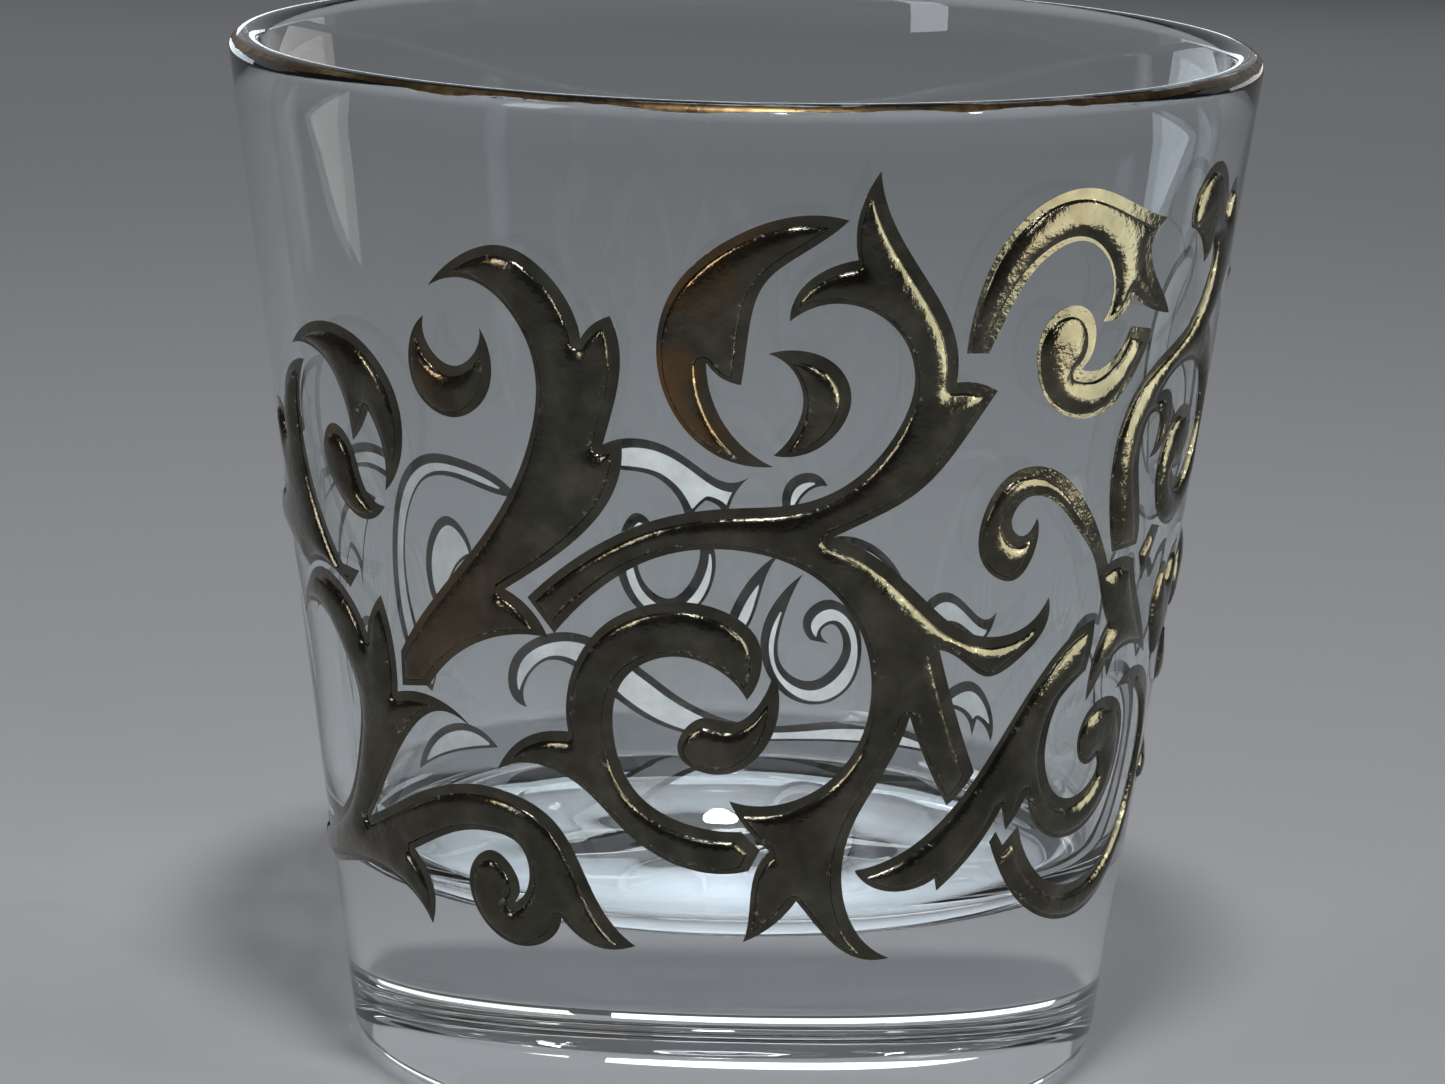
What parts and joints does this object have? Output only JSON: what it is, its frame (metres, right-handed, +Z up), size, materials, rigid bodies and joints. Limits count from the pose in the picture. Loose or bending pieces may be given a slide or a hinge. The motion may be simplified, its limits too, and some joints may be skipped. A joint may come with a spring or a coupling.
{
  "type": "whiskey tumbler",
  "caption": "Tapered clear glass tumbler with a thick base, a worn gilt line on the lip and raised metallic-lustre scrollwork fused round its wall.",
  "frame": {"origin": "centre of the foot circle, on the surface the tumbler stands on", "axes": "+Z up along the glass's axis; front is -Y, the side with the large centre scroll"},
  "size_m": [0.0858, 0.0858, 0.086],
  "materials": {
    "glass": "polished clear soda-lime glass, smooth outside, finely worn under the foot",
    "gilt": "fired gilt line on the lip, worn thin and ragged",
    "enamel": "fused off-white enamel, glossy, stands for vitreous enamel",
    "lustre": "dark gold-gunmetal lustre, mirror bright on the ridges, fine wear along the edges"
  },
  "bodies": {
    "root": {"glass_body": "glass", "gilt_line": "gilt", "trunk_spray_bead": "enamel", "crown_leaf_bead": "enamel", "inner_crescent_bead": "enamel", "centre_scroll_bead": "enamel", "centre_comma_bead": "enamel", "hook_leaf_bead": "enamel", "cup_crescent_bead": "enamel", "left_hook_bead": "enamel", "left_comma_bead": "enamel", "left_stem_bead": "enamel", "left_trunk_bead": "enamel", "upper_right_scroll_bead": "enamel", "upper_right_curl_bead": "enamel", "right_vine_bead": "enamel", "long_diagonal_bead": "enamel", "bottom_scroll_bead": "enamel", "right_trunk_bead": "enamel", "tie_stem_bead": "enamel", "edge_leaf_bead": "enamel", "back_beads": "enamel", "trunk_spray_skin": "lustre", "crown_leaf_skin": "lustre", "inner_crescent_skin": "lustre", "centre_scroll_skin": "lustre", "centre_comma_skin": "lustre", "hook_leaf_skin": "lustre", "cup_crescent_skin": "lustre", "left_hook_skin": "lustre", "left_comma_skin": "lustre", "left_stem_skin": "lustre", "left_trunk_skin": "lustre", "upper_right_scroll_skin": "lustre", "upper_right_curl_skin": "lustre", "right_vine_skin": "lustre", "long_diagonal_skin": "lustre", "bottom_scroll_skin": "lustre", "right_trunk_skin": "lustre", "tie_stem_skin": "lustre", "edge_leaf_skin": "lustre", "back_ring_scroll_skin": "lustre", "back_teardrop_skin": "lustre", "back_slender_stem_skin": "lustre", "back_wave_leaf_skin": "lustre", "back_u_curl_skin": "lustre", "back_open_ring_skin": "lustre", "back_cross_leaf_skin": "lustre", "back_pale_crescent_skin": "lustre", "back_small_hook_skin": "lustre", "back_wave_hook_skin": "lustre", "back_forked_leaf_skin": "lustre", "back_left_leaf_skin": "lustre", "back_root_scroll_skin": "lustre", "back_base_garland_skin": "lustre", "back_base_leaf_skin": "lustre", "back_repeat_scroll_skin": "lustre", "back_repeat_comma_skin": "lustre", "back_repeat_crown_skin": "lustre"}
  },
  "joints": []
}
